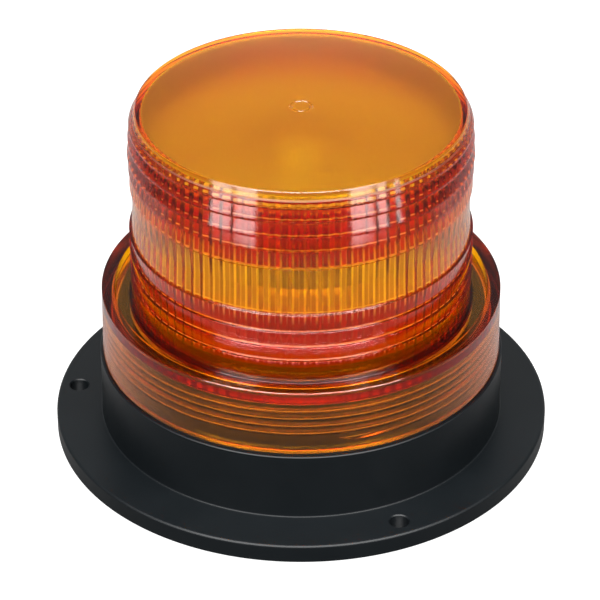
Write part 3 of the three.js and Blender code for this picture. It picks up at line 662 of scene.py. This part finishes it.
def lens_inside(angle):
    """Rows from the middle of the ceiling out and down to the web's underside."""
    low, high = FLUTE_SPAN
    middle = WAIST[1]
    sag = flute_sag(angle)

    def wall(height):
        share = (height - WEB_BOTTOM) / (CEILING - WEB_BOTTOM)
        return INNER_RADIUS[0] + (INNER_RADIUS[1] - INNER_RADIUS[0]) * share

    return [
        (0, CEILING),
        (INNER_RADIUS[1] - 1.1, CEILING),
        (INNER_RADIUS[1] - 0.4, CEILING - 0.3),
        (wall(high) - sag, high),
        (wall(middle) - sag, middle),
        (wall(low) - sag, low),
        (wall(WEB_BOTTOM), WEB_BOTTOM + 0.4),
        (wall(WEB_BOTTOM) + 0.4, WEB_BOTTOM),
        (LENS_THREAD["root"] - 0.4, WEB_BOTTOM),
        (LENS_THREAD["root"], WEB_BOTTOM - 0.15),
    ]


def add_lens(finish):
    outside = lens_outside()
    piece = threaded("amber_lens", lens_inside, LENS_THREAD, lambda angle: outside, LENS_COLUMNS, False)
    dress(piece, finish, "lens")
    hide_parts("lens")


# ---------------------------------------------------------------- base housing

def housing_lower():
    """Rows from the foot of the neck, out over the shoulder and down the outside, then up inside."""
    inner, outer, depth = FOOT_GROOVE
    upwards = [
        (NECK_INNER, SHOULDER[0]),
        (DRUM_INNER, SHOULDER[0]),
        (DRUM_INNER, 0),
        (inner, 0),
        (inner, depth),
        (outer, depth),
        (outer, 0),
        (FLANGE_RADIUS, 0),
        (FLANGE_RADIUS, FLANGE_HEIGHT - FLANGE_EDGE),
        (FLANGE_RADIUS - FLANGE_EDGE * 0.3, FLANGE_HEIGHT - FLANGE_EDGE * 0.3),
        (FLANGE_RADIUS - FLANGE_EDGE, FLANGE_HEIGHT),
        (DRUM_RADIUS + DRUM_FILLET, FLANGE_HEIGHT),
        (DRUM_RADIUS, FLANGE_HEIGHT + DRUM_FILLET),
        (DRUM_RADIUS, DRUM_TOP),
        (SEAL_GROOVE, DRUM_TOP),
        (SEAL_GROOVE, SHOULDER[1]),
        (NECK_THREAD["root"], SHOULDER[1]),
    ]
    return softened(upwards, 0.25) + [(NECK_THREAD["root"], SHOULDER[1] + 0.2)]


def add_housing(finish):
    below = housing_lower()[::-1]
    above = [
        (NECK_INNER, SHOULDER[0] + 1),
        (NECK_INNER, NECK_TOP - 0.3),
        (NECK_INNER + 0.3, NECK_TOP),
        (NECK_THREAD["root"] - 0.5, NECK_TOP),
        (NECK_THREAD["root"], NECK_TOP - 0.5),
    ]
    piece = threaded(
        "housing_shell", lambda angle: above, NECK_THREAD, lambda angle: below, BASE_COLUMNS, True)
    piece.data.flip_normals()  # its column runs up the inside and down the outside
    angles = [math.radians(angle) for angle in MOUNT_ANGLES]
    mounts = [(MOUNT_CIRCLE * math.cos(angle), MOUNT_CIRCLE * math.sin(angle)) for angle in angles]
    drilled(piece, mounts, MOUNT_HOLE, -1, FLANGE_HEIGHT, 48)
    dress(piece, finish, "base")
    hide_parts("base_housing")


def thirds(radius, first):
    """Places on a circle, a third of a turn apart. Angles are in degrees from +X."""
    angles = [math.radians(first + step * 120) for step in range(3)]
    return [(radius * math.cos(angle), radius * math.sin(angle)) for angle in angles]


def ring_outline(inner, outer, bottom, top, cut=0.3):
    """A closed outline for a ring, with its corners cut back."""
    middle = (inner + outer) / 2
    start = (middle, bottom)
    corners = [start, (outer, bottom), (outer, top), (inner, top), (inner, bottom), start]
    return softened(corners, cut)[:-1]


def placed(piece, x, y, z=0, tilt=0):
    """Moves the piece's mesh, so that its object stays at the origin."""
    shift = Matrix.Translation(Vector((x, y, z)) * MM)
    piece.data.transform(shift @ Matrix.Rotation(tilt, 4, "X"))
    return piece


def cut_away(piece, tool):
    """Cuts the tool's shape out of a piece, and removes the tool."""
    cut = piece.modifiers.new("cut", "BOOLEAN")
    cut.operation = "DIFFERENCE"
    cut.solver = "EXACT"
    cut.object = tool
    bpy.context.view_layer.objects.active = piece
    bpy.ops.object.modifier_apply(modifier=cut.name)
    bpy.data.objects.remove(tool)


def drilled(piece, places, radius, bottom, top, columns=32):
    """Cuts plain holes through a piece, each with a small lead-in at its upper end."""
    outline = [
        (0, bottom),
        (radius, bottom),
        (radius, top - 0.3),
        (radius + 0.3, top),
        (radius + 0.3, top + 1),
        (0, top + 1),
    ]
    for x, y in places:
        cut_away(piece, placed(turned("drill", outline, columns), x, y))
    shade(piece.data)
    return piece


def add_bosses(finish):
    """The screw bosses inside the base housing."""
    for name, bosses in (
            ("cover_boss", COVER_BOSSES),
            ("board_boss", BOARD_BOSSES),
            ("deck_boss", DECK_BOSSES)):
        outline = ring_outline(SCREW_HOLE, BOSS_RADIUS, bosses["bottom"], bosses["top"], 0.2)
        for index, (x, y) in enumerate(thirds(bosses["radius"], bosses["first"])):
            boss = placed(turned(f"{name}_{index + 1}", outline, 32, True), x, y)
            dress(boss, finish, "base")


def add_boss_ribs(finish):
    """Ribs that tie the deck bosses to the neck wall."""
    side = ring_outline(DECK_BOSSES["radius"], NECK_INNER + 1, DECK_BOSSES["bottom"], DECK_BOSSES["top"])
    count = len(side)
    sides = (-BOSS_RIB_HALF, BOSS_RIB_HALF)
    points = [(radius, offset, height) for offset in sides for radius, height in side]
    faces = [tuple(range(count)), tuple(range(2 * count - 1, count - 1, -1))]
    for start in range(count):
        after = (start + 1) % count
        faces.append((start, start + count, after + count, after))
    for step in range(3):
        rib = new_piece(f"boss_rib_{step + 1}", points, faces)
        rib.data.transform(Matrix.Rotation(math.radians(DECK_BOSSES["first"] + step * 120), 4, "Z"))
        dress(rib, finish, "base")


def add_bottom_cover(finish):
    """A disc with a rib and a rim on its underside, holes for its screws and for the grommet."""
    bottom, top, radius, rim = COVER["bottom"], COVER["top"], COVER["radius"], COVER["rim"]
    rib_inner, rib_outer = COVER["rib"]
    recess = bottom + COVER["recess"]
    outline = [
        (0, recess),
        (rib_inner, recess),
        (rib_inner + 0.4, bottom),
        (rib_outer - 0.4, bottom),
        (rib_outer, recess),
        (rim, recess),
        (rim + 0.4, bottom),
        (radius - 0.4, bottom),
        (radius, bottom + 0.4),
        (radius, top - 0.3),
        (radius - 0.3, top),
        (0, top),
    ]
    cover = turned("cover_disc", outline, BASE_COLUMNS)
    drilled(cover, thirds(COVER_BOSSES["radius"], COVER_BOSSES["first"]), SCREW_HOLE, bottom - 1, top)
    drilled(cover, [GROMMET["place"]], GROMMET_HOLE, bottom - 1, top, 64)
    dress(cover, finish, "base")
    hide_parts("bottom_cover")


def add_grommet(finish):
    bore, neck, flange = GROMMET["bore"], GROMMET["neck"], GROMMET["flange"]
    low, high = COVER["bottom"] - 0.3, COVER["top"] + 0.3
    outline = [
        (bore + 0.4, GROMMET["bottom"]),
        (flange - 0.6, GROMMET["bottom"]),
        (flange, GROMMET["bottom"] + 0.6),
        (flange, low),
        (neck, low),
        (neck, high),
        (flange, high),
        (flange - 1.2, GROMMET["top"]),
        (bore + 0.4, GROMMET["top"]),
        (bore, GROMMET["top"] - 0.4),
        (bore, GROMMET["bottom"] + 0.4),
    ]
    grommet = placed(turned("grommet_ring", outline, 64, True), *GROMMET["place"])
    dress(grommet, finish, "base")
    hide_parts("cable_grommet")


def seal_outline(inner, outer, bottom, top):
    """A flat ring with its corners cut back and a groove round both faces."""
    third = (outer - inner) / 3
    return [
        (inner + third, bottom),
        (inner + 1.5 * third, bottom + 0.4),
        (inner + 2 * third, bottom),
        (outer - 0.3, bottom),
        (outer, bottom + 0.3),
        (outer, top - 0.3),
        (outer - 0.3, top),
        (inner + 2 * third, top),
        (inner + 1.5 * third, top - 0.4),
        (inner + third, top),
        (inner + 0.3, top),
        (inner, top - 0.3),
        (inner, bottom + 0.3),
        (inner + 0.3, bottom),
    ]


def add_seals(finish):
    for name, node, body, *sizes in SEALS:
        seal = turned(name, seal_outline(*sizes), BASE_COLUMNS, True)
        dress(seal, finish, body)
        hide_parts(node)


def add_deck(finish):
    bottom, top, radius, lip = DECK["bottom"], DECK["top"], DECK["radius"], DECK["lip"]
    outline = [
        (DECK["hole"], bottom),
        (radius - 0.4, bottom),
        (radius, bottom + 0.4),
        (radius, top + DECK["lip_height"] - 0.3),
        (radius - 0.3, top + DECK["lip_height"]),
        (radius - lip, top + DECK["lip_height"]),
        (radius - lip - 0.5, top),
        (DECK["hole"], top),
    ]
    deck = turned("deck_disc", outline, BASE_COLUMNS, True)
    drilled(deck, thirds(DECK_BOSSES["radius"], DECK_BOSSES["first"]), SCREW_HOLE, bottom - 1, top)
    dress(deck, finish, "base")
    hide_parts("deck_plate")


def add_reflector(finish):
    """A thin white disc with a rolled rim and two pressed rings."""
    inner, outer, bottom, top = REFLECTOR.values()
    outline = [
        (inner, bottom),
        (outer - 0.2, bottom),
        (outer, bottom + 0.2),
        (outer - 0.2, top),
        (outer - 1, top),
    ]
    for radius in (outer - 1.6, inner + 3):
        outline += [(radius, top - 0.25), (radius - 0.8, top - 0.25), (radius - 1.4, top)]
    outline.append((inner, top))
    disc = turned("reflector_disc", outline, BASE_COLUMNS, True)
    dress(disc, finish, "base")
    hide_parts("reflector_plate")


def screw_piece(name, length):
    """A slotted pan-head screw that points up, with its seat at the origin and a fine thread."""
    head, depth, shank, root = SCREW["head"], SCREW["head_height"], SCREW["shank"], SCREW["root"]
    outline = [
        (0, -depth),
        (head - 1.2, -depth),
        (head - 0.5, 0.2 - depth),
        (head - 0.1, 0.7 - depth),
        (head, 1.3 - depth),
        (head, 0),
        (shank, 0),
    ]
    height = 1.0
    while height < length - 1.4:
        outline += [(shank, height), (root, height + SCREW["pitch"] / 2)]
        height += SCREW["pitch"]
    outline += [(root, length - 1), (0, length)]
    screw = turned(name, outline, 40)
    cut_away(screw, block_piece("slot", SCREW["slot"], (0, 0, -2)))
    shade(screw.data)
    return screw


def block_piece(name, size, middle):
    """A plain box in millimetres, used to cut slots."""
    bpy.ops.mesh.primitive_cube_add(size=1)
    box = bpy.context.object
    box.name = name
    box.data.transform(Matrix.Translation(Vector(middle) * MM) @ Matrix.Diagonal((*(Vector(size) * MM), 1)))
    return box


def add_screws(finish):
    """The cover's and the board's screws point up, and the deck's point down."""
    for name, bosses, seat, length, tilt in SCREWS:
        for index, (x, y) in enumerate(thirds(bosses["radius"], bosses["first"])):
            screw = placed(screw_piece(f"{name}_body_{index + 1}", length), x, y, seat, tilt)
            dress(screw, finish, "base")
            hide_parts(f"{name}_{index + 1}")


def add_socket(finish):
    """A body that drops through the deck, a flange that rests on it and a collar with the pins' bores."""
    bottom, body, seat, flange, flange_top, collar, top = SOCKET.values()
    outline = [
        (0, bottom),
        (body - 0.4, bottom),
        (body, bottom + 0.4),
        (body, seat),
        (flange - 0.3, seat),
        (flange, seat + 0.3),
        (flange, flange_top - 0.3),
        (flange - 0.3, flange_top),
        (collar + 0.3, flange_top),
        (collar, flange_top + 0.3),
        (collar, top - 0.4),
        (collar - 0.4, top),
        (0, top),
    ]
    socket = drilled(turned("socket_body", outline), thirds(PIN_CIRCLE, 90), PIN_BORE, bottom - 1, top, 24)
    dress(socket, finish, "base")
    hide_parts("tube_socket")


def plug_rows():
    """Rows up the plug, as radius, height and whether the grip ribs are cut there."""
    bottom, rim, rim_top, top, spigot = (PLUG[key] for key in ("bottom", "rim", "rim_top", "top", "spigot"))
    low, high = PLUG["grip"]
    return [
        (0, bottom, False),
        (rim - 1, bottom, False),
        (rim, bottom + 0.8, False),
        (rim, low, False),
        (rim, low + 0.3, True),
        (rim, high - 0.3, True),
        (rim, high, False),
        (rim, rim_top, False),
        (rim - 1.6, top - 0.2, False),
        (rim - 2, top, False),
        (spigot, top, False),
        (spigot, SPIGOT_TOP - 0.4, False),
        (spigot - 0.4, SPIGOT_TOP, False),
        (0, SPIGOT_TOP, False),
    ]


def add_plug(finish):
    """The flash tube's plug, with grip ribs round its rim and a spigot that holds the envelope."""
    columns = 6 * GRIP_RIBS

    def rows_at(column):
        notch = GRIP_DEPTH if column % 6 < 2 else 0
        rows = [(radius - notch if ribbed else radius, height) for radius, height, ribbed in plug_rows()]
        return TURN * column / columns, rows

    points, lanes = lathed(columns, rows_at)
    plug = new_piece("plug_body", points, faces_round(lanes, False))
    dress(plug, finish, "flash_tube")
    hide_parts("tube_plug")


def add_pins(finish):
    """Three contact pins with rounded points."""
    bottom, top, radius = PIN.values()
    outline = [
        (0, bottom),
        (radius / 2, bottom + 0.1),
        (radius - 0.2, bottom + 0.4),
        (radius, bottom + 1),
        (radius, top),
        (0, top),
    ]
    for index, (x, y) in enumerate(thirds(PIN_CIRCLE, 90)):
        pin = placed(turned(f"contact_pin_{index + 1}", outline, 24), x, y)
        dress(pin, finish, "flash_tube")
        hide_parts(f"tube_pin_{index + 1}")


def add_envelope(finish):
    """A thin round-ended glass, open at its foot."""
    inner, outer, bottom, middle = ENVELOPE.values()
    steps = 16
    arc = [math.pi / 2 * step / steps for step in range(steps + 1)]
    inside = [(inner * math.cos(angle), middle + inner * math.sin(angle)) for angle in reversed(arc)]
    outside = [(outer * math.cos(angle), middle + outer * math.sin(angle)) for angle in arc]
    inside[0], outside[-1] = (0, middle + inner), (0, middle + outer)
    foot = [(inner, bottom + 0.2), (inner + 0.3, bottom), (outer - 0.3, bottom), (outer, bottom + 0.2)]
    glass = turned("glass_dome", inside + foot + outside, 96)
    dress(glass, finish, "flash_tube")
    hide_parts("glass_envelope")


def u_path(steps=96):
    """Points and directions along the middle of the discharge tube."""
    half_gap, bottom, leg_top = TUBE["half_gap"], TUBE["bottom"], TUBE["leg_top"]
    leg, bend = leg_top - bottom, math.pi * half_gap
    path = []
    for step in range(steps + 1):
        distance = (2 * leg + bend) * step / steps
        angle = min(max((distance - leg) / half_gap, 0), math.pi)
        past = max(distance - leg - bend, 0)
        height = min(bottom + distance, leg_top) - past + half_gap * math.sin(angle)
        path.append(((-half_gap * math.cos(angle), 0, height), (math.sin(angle), 0, math.cos(angle))))
    return path


def hollow_tube(name, path, outer, inner, sides=24):
    """A tube along a path in the XZ plane, with a wall between two radii and a rim at each end."""
    points = []
    rings = []
    for radius, walk in ((outer, path), (inner, path[::-1])):
        for centre, direction in walk:
            across = Vector((direction[2], 0, -direction[0]))
            rings.append(list(range(len(points), len(points) + sides)))
            for side in range(sides):
                angle = TURN * side / sides
                offset = across * radius * math.cos(angle) + Vector((0, radius * math.sin(angle), 0))
                points.append(Vector(centre) + offset)
    piece = new_piece(name, points, faces_round(rings, True))
    mesh = bmesh.new()
    mesh.from_mesh(piece.data)
    bmesh.ops.recalc_face_normals(mesh, faces=mesh.faces)
    mesh.to_mesh(piece.data)
    mesh.free()
    return piece


def add_discharge_tube(glass_finish, metal_finish):
    """A hollow U of glass with an electrode in each foot."""
    tube = hollow_tube("u_tube", u_path(), TUBE["radius"], TUBE["radius"] - TUBE["wall"])
    dress(tube, glass_finish, "flash_tube")
    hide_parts("discharge_tube")
    stem, cap, bottom, cap_bottom, top = ELECTRODE.values()
    outline = [
        (0, bottom),
        (stem, bottom),
        (stem, cap_bottom),
        (cap - 0.4, cap_bottom),
        (cap, cap_bottom + 0.4),
        (cap, top - 0.4),
        (cap - 0.4, top),
        (0, top),
    ]
    for side, x in (("left", -TUBE["half_gap"]), ("right", TUBE["half_gap"])):
        electrode = placed(turned(f"electrode_cap_{side}", outline, 24), x, 0)
        dress(electrode, metal_finish, "flash_tube")
        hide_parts(f"electrode_{side}")


def add_trigger_wire(finish):
    """Thin wire wound round the left leg of the discharge tube."""
    wire, turns, lead = TRIGGER_WIRE.values()
    steps = 16
    low, high = TUBE["bottom"] + lead, TUBE["leg_top"]
    reach = TUBE["radius"] + wire
    data = bpy.data.curves.new("trigger_wire", "CURVE")
    data.dimensions = "3D"
    data.bevel_depth = wire * MM
    data.use_fill_caps = True
    spline = data.splines.new("POLY")
    spline.points.add(turns * steps)
    for index, point in enumerate(spline.points):
        angle = TURN * index / steps
        height = low + (high - low) * index / (turns * steps)
        place = Vector((reach * math.cos(angle) - TUBE["half_gap"], reach * math.sin(angle), height)) * MM
        point.co = (*place, 1)
    mesh = bpy.data.meshes.new_from_object(bpy.data.objects.new("trigger_wire", data))
    piece = bpy.data.objects.new("trigger_wire", mesh)
    bpy.context.scene.collection.objects.link(piece)
    dress(piece, finish, "flash_tube")


# ---------------------------------------------------------------- stage

def add_floor():
    """A pale table, brighter behind the object than in front, where the dark room shades it.

    The camera, and the light that comes through the lens, see it as clean white paper. It is open
    under the object and seen through from below, so that the underside shows.
    """
    made, tree, links = new_material("pale_table")
    shader = tree["Principled BSDF"]
    shader.inputs["Roughness"].default_value = 0.8
    shader.inputs["Specular IOR Level"].default_value = 0
    shader.inputs["Emission Color"].default_value = (1, 1, 1, 1)
    tone = spread_value(tree, links, position(tree, links)["Y"], *FLOOR_TONES, *FLOOR_FADE)
    links.new(tone, shader.inputs["Base Color"])
    links.new(direct_view(tree, links), shader.inputs["Emission Strength"])
    facing = tree.new("ShaderNodeNewGeometry")
    seen_through = tree.new("ShaderNodeBsdfTransparent")
    shown = tree.new("ShaderNodeMixShader")
    links.new(facing.outputs["Backfacing"], shown.inputs[0])
    links.new(shader.outputs[0], shown.inputs[1])
    links.new(seen_through.outputs[0], shown.inputs[2])
    links.new(shown.outputs[0], tree["Material Output"].inputs["Surface"])
    floor = turned("floor", [(FLOOR_RADIUS, 0), (FLANGE_RADIUS - 2, 0)])
    floor.data.materials.append(made)


def direct_view(tree, links):
    """1 for what the camera sees, itself or through the lens, and 0 for mirror images and shading."""
    path = tree.new("ShaderNodeLightPath")
    seen, seen_through = path.outputs["Is Camera Ray"], path.outputs["Is Transmission Ray"]
    return math_node(tree, links, "MAXIMUM", seen, seen_through)


def add_light(name, azimuth, elevation, distance, width, height, watts, upright):
    """A softbox that faces the object, or stands upright. Azimuth 0 is over the camera."""
    turn = math.radians(azimuth)
    rise = math.radians(elevation)
    data = bpy.data.lights.new(name, "AREA")
    data.shape = "RECTANGLE"
    data.size = width
    data.size_y = height
    data.energy = watts
    lamp = bpy.data.objects.new(name, data)
    bpy.context.scene.collection.objects.link(lamp)
    target = Vector((0, 0, 0.06))
    away = Vector((math.cos(rise) * math.sin(turn), -math.cos(rise) * math.cos(turn), math.sin(rise)))
    lamp.location = target + away * distance
    aim = target - lamp.location
    if upright:
        aim.z = 0
    lamp.rotation_euler = aim.to_track_quat("-Z", "Y").to_euler()


def add_lights():
    world = bpy.data.worlds.new("studio")
    world.use_nodes = True
    tree, links = world.node_tree.nodes, world.node_tree.links
    background = tree["Background"]
    background.inputs["Color"].default_value = (1, 1, 1, 1)
    strength = spread_value(tree, links, direct_view(tree, links), WORLD_STRENGTH, 1)
    links.new(strength, background.inputs["Strength"])
    bpy.context.scene.world = world
    reach = STRIP_DISTANCE / math.cos(math.radians(STRIP_ELEVATION))
    for index, (azimuth, width) in enumerate(STRIPS):
        across = 2 * STRIP_DISTANCE * math.tan(math.radians(width / 2))
        watts = STRIP_RADIANCE * math.pi * across * STRIP_HEIGHT
        add_light(f"strip_{index + 1}", azimuth, STRIP_ELEVATION, reach, across, STRIP_HEIGHT, watts, True)
    for softbox in SOFTBOXES:
        add_light(*softbox)


def add_camera():
    data = bpy.data.cameras.new("camera")
    data.lens = CAMERA_LENS
    data.sensor_width = 36
    data.shift_x, data.shift_y = CAMERA_SHIFT
    data.clip_start = 0.01
    camera = bpy.data.objects.new("camera", data)
    bpy.context.scene.collection.objects.link(camera)
    target = Vector((0, 0, CAMERA_TARGET_HEIGHT * MM))
    back = Vector((0, -math.cos(CAMERA_ELEVATION), math.sin(CAMERA_ELEVATION)))
    camera.location = target + back * CAMERA_DISTANCE * MM
    camera.rotation_euler = (-back).to_track_quat("-Z", "Y").to_euler()
    bpy.context.scene.camera = camera


def set_up_render():
    scene = bpy.context.scene
    scene.view_settings.view_transform = "Standard"
    scene.cycles.max_bounces = 24
    scene.cycles.transmission_bounces = 24
    scene.cycles.glossy_bounces = 12
    scene.cycles.transparent_max_bounces = 16


# ---------------------------------------------------------------- assembly

add_camera()
set_up_render()
add_floor()
add_lights()

black_plastic = surface("black_moulding", (0.0014, 0.0022, 0.0028), 0.42, depth=0.015, specular=0.2)
white_plastic = surface("white_moulding", (0.7, 0.69, 0.65), 0.45, grain=1500)
rubber = surface("black_rubber", (0.008, 0.008, 0.008), 0.75, grain=900, specular=0.2)
steel = surface("zinc_plate", (0.55, 0.56, 0.55), 0.32, metallic=1, grain=700, depth=0.01)
nickel = surface("nickel_plate", (0.66, 0.62, 0.55), 0.25, metallic=1, grain=900, depth=0.01)
glass = clear_glass()

add_housing(black_plastic)
add_bosses(black_plastic)
add_boss_ribs(black_plastic)
add_bottom_cover(black_plastic)
add_grommet(rubber)
add_seals(rubber)
add_deck(white_plastic)
add_reflector(white_plastic)
add_screws(steel)
add_socket(white_plastic)
add_plug(white_plastic)
add_pins(nickel)
add_envelope(glass)
add_discharge_tube(glass, nickel)
add_trigger_wire(nickel)
add_lens(amber_plastic())

epoxy = surface("moulded_epoxy", (0.012, 0.012, 0.013), 0.45, grain=3000)
film = surface("dipped_film", (0.35, 0.03, 0.02), 0.3, grain=500, depth=0.1)
winding = surface("enamelled_winding", (0.5, 0.19, 0.08), 0.35, metallic=1, wave=("Z", 0.8), depth=0.3)
toroid_winding = surface(
    "toroid_winding", (0.5, 0.19, 0.08), 0.35, metallic=1, wave=("DIAGONAL", 1.2), depth=0.3)
tan_lacquer = surface("banded_lacquer", (0.5, 0.36, 0.2), 0.5, wave=("Y", 2.2))
sleeve = surface("shrink_sleeve", (0.02, 0.035, 0.12), 0.3, grain=200, depth=0.1)
CARRIED = {
    "circuit_board": circuit_laminate(),
    "terminal_block": surface("green_moulding", (0.03, 0.22, 0.08), 0.45),
    "storage_capacitor_1": sleeve,
    "storage_capacitor_2": sleeve,
    "transformer_core": surface("ground_ferrite", (0.03, 0.03, 0.032), 0.6, grain=1200, depth=0.08),
    "transformer_winding": surface("yellow_tape", (0.62, 0.44, 0.06), 0.4, wave=("Z", 3.5), depth=0.1),
    "trigger_coil": winding,
    "filter_choke": toroid_winding,
    "heat_sink": surface(
        "extruded_aluminium", (0.5, 0.51, 0.52), 0.38, metallic=1, wave=("X", 0.5), depth=0.03),
    "power_transistor": epoxy,
    "timing_chip": epoxy,
    "diode_1": epoxy,
    "diode_2": epoxy,
    "film_capacitor_1": film,
    "film_capacitor_2": film,
    "resistor_1": tan_lacquer,
    "resistor_2": tan_lacquer,
    "resistor_3": tan_lacquer,
    "transistor_screw": steel,
    "terminal_screw_1": steel,
    "terminal_screw_2": steel,
    "socket_retainer": steel,
}
for node, finish in CARRIED.items():
    nodes[node].data.materials.clear()
    nodes[node].data.materials.append(finish)
